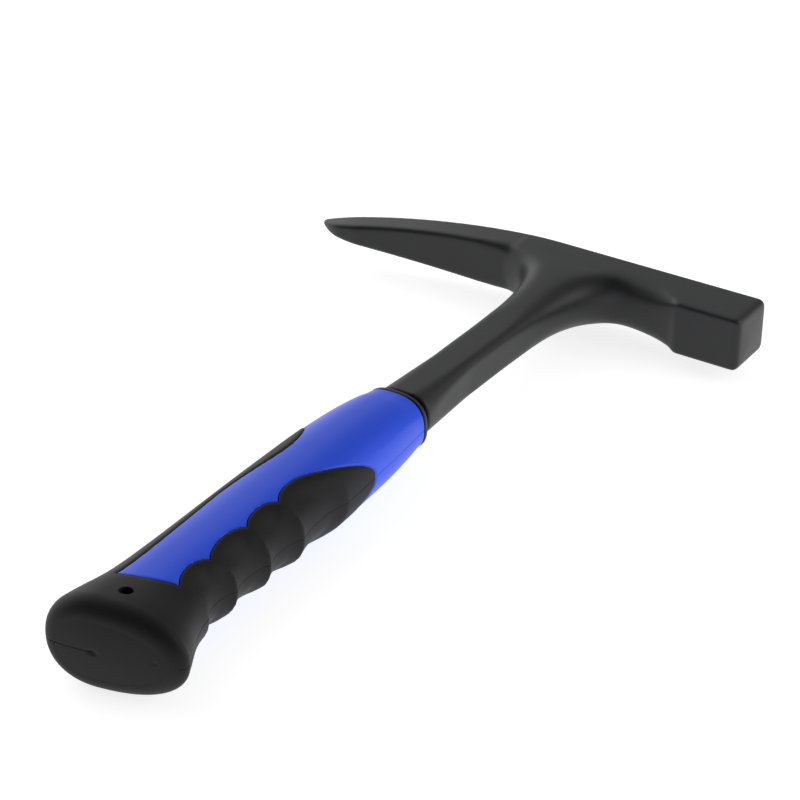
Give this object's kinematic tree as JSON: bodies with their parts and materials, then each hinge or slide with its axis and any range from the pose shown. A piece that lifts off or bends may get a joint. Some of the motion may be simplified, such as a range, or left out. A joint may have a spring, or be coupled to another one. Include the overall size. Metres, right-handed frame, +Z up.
{
  "type": "geologist's rock pick hammer",
  "caption": "One-piece forged rock hammer with a square striking face, a tapered pick, and a two-colour moulded grip with finger grooves.",
  "frame": {"origin": "under the middle of the hammer's bounding box, on the surface that it lies on, with one cheek down", "axes": "+X along the head towards the striking face, +Y up the handle from the butt to the crown, +Z up through the thickness"},
  "size_m": [0.1906, 0.3022, 0.0329],
  "materials": {
    "forged_steel": "satin black coating over forged steel",
    "blue_plastic": "semi-gloss moulded, solid blue",
    "black_rubber": "fine matt, soft to the touch",
    "black_plastic": "matt black"
  },
  "bodies": {
    "root": {"forged_hammer": "forged_steel", "grip_core": "blue_plastic", "soft_grip": "black_rubber", "collar_ring": "black_plastic"}
  },
  "joints": []
}
